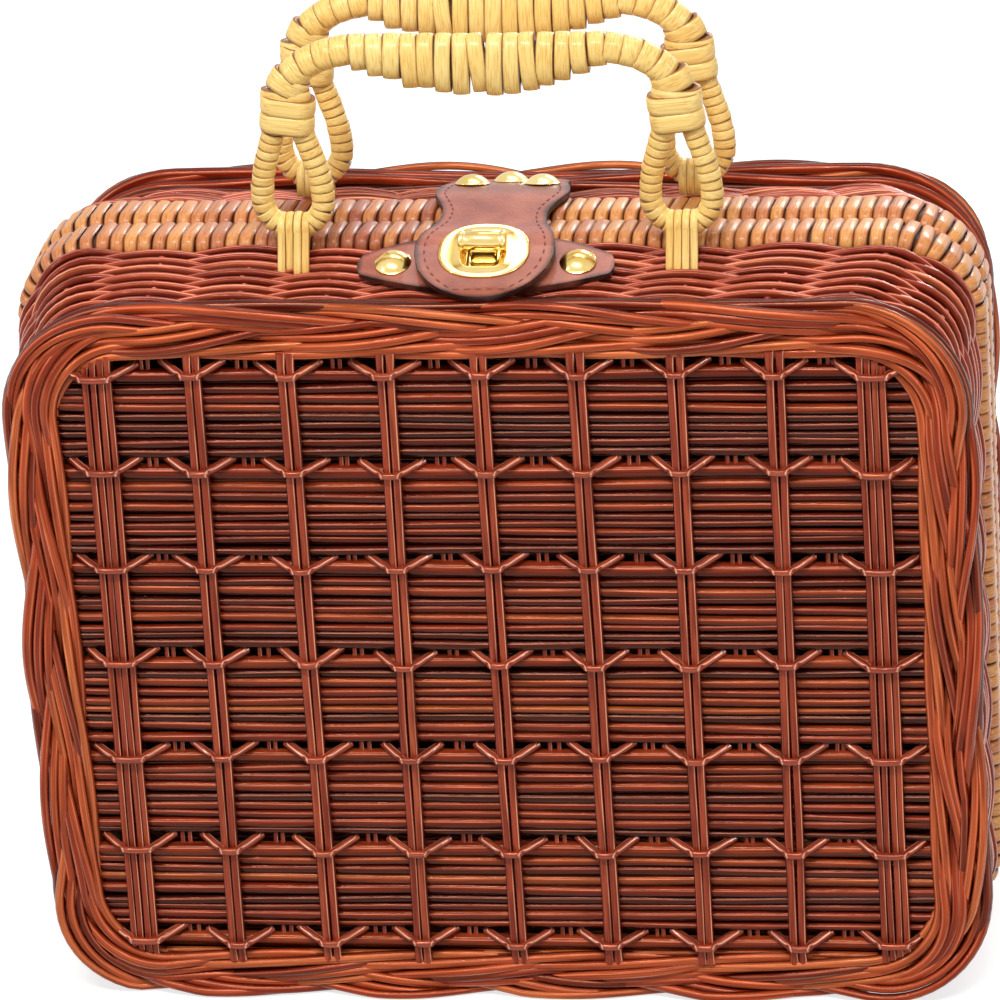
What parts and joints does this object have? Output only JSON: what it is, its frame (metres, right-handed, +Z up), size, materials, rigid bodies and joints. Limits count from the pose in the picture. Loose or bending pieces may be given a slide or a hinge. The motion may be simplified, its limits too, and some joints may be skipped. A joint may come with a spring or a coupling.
{
  "type": "basket box bag",
  "caption": "Small suitcase-shaped wicker handbag: two hinged woven trays with cane-bound rims, cane-wrapped handles and a leather hasp with a brass turn lock.",
  "frame": {"origin": "centre of the footprint on the surface that the bag stands on, at the parting plane", "axes": "+Z up, the front face with the turn lock looks along -Y, +X to the right seen from the front"},
  "size_m": [0.26, 0.104, 0.2698],
  "materials": {
    "willow": "red-brown stained willow rods under a glossy varnish",
    "willow_border": "orange-brown stained willow rods under a glossy varnish",
    "rim_cane": "tan cane strip, satin",
    "handle_cane": "honey-yellow cane strip, satin",
    "leather": "reddish-brown smooth leather with dark edges",
    "brass": "polished"
  },
  "bodies": {
    "front_tray": {"front_panel": "willow", "front_panel_stakes": "willow", "front_panel_twining": "willow_border", "front_border": "willow_border", "front_wall": "willow", "front_rim_hoop": "rim_cane", "front_rim_binding": "rim_cane", "front_handle_ties": "handle_cane", "wing_plate": "leather", "wing_rivets": "brass", "wing_rivet_burrs": "brass", "lock_base": "brass", "hinge_ties": "rim_cane"},
    "back_tray": {"back_panel": "willow", "back_panel_stakes": "willow", "back_panel_twining": "willow_border", "back_border": "willow_border", "back_wall": "willow", "back_rim_hoop": "rim_cane", "back_rim_binding": "rim_cane", "back_handle_ties": "handle_cane", "hasp_strap": "leather", "hasp_eyelet": "brass", "hasp_rivets": "brass", "hasp_rivet_burrs": "brass"},
    "front_grip": {"front_handle": "handle_cane", "front_handle_collars": "handle_cane"},
    "back_grip": {"back_handle": "handle_cane", "back_handle_collars": "handle_cane"},
    "turn_lock": {"lock_knob": "brass"}
  },
  "joints": [
    {"name": "tray_hinge", "type": "hinge", "parent": "front_tray", "child": "back_tray", "pos_m": [0, 0.0074, 0.0066], "axis": [-1, 0, 0], "range_deg": [0, 120]},
    {"name": "front_handle_fold", "type": "hinge", "parent": "front_tray", "child": "front_grip", "pos_m": [0, -0.01727, 0.21515], "axis": [1, 0, 0], "range_deg": [-10, 90]},
    {"name": "back_handle_fold", "type": "hinge", "parent": "back_tray", "child": "back_grip", "pos_m": [0, 0.01727, 0.21515], "axis": [-1, 0, 0], "range_deg": [-10, 90]},
    {"name": "lock_turn", "type": "hinge", "parent": "front_tray", "child": "turn_lock", "pos_m": [0, -0.02659, 0.20737], "axis": [0, -0.3066, 0.9518], "range_deg": [0, 90]}
  ]
}
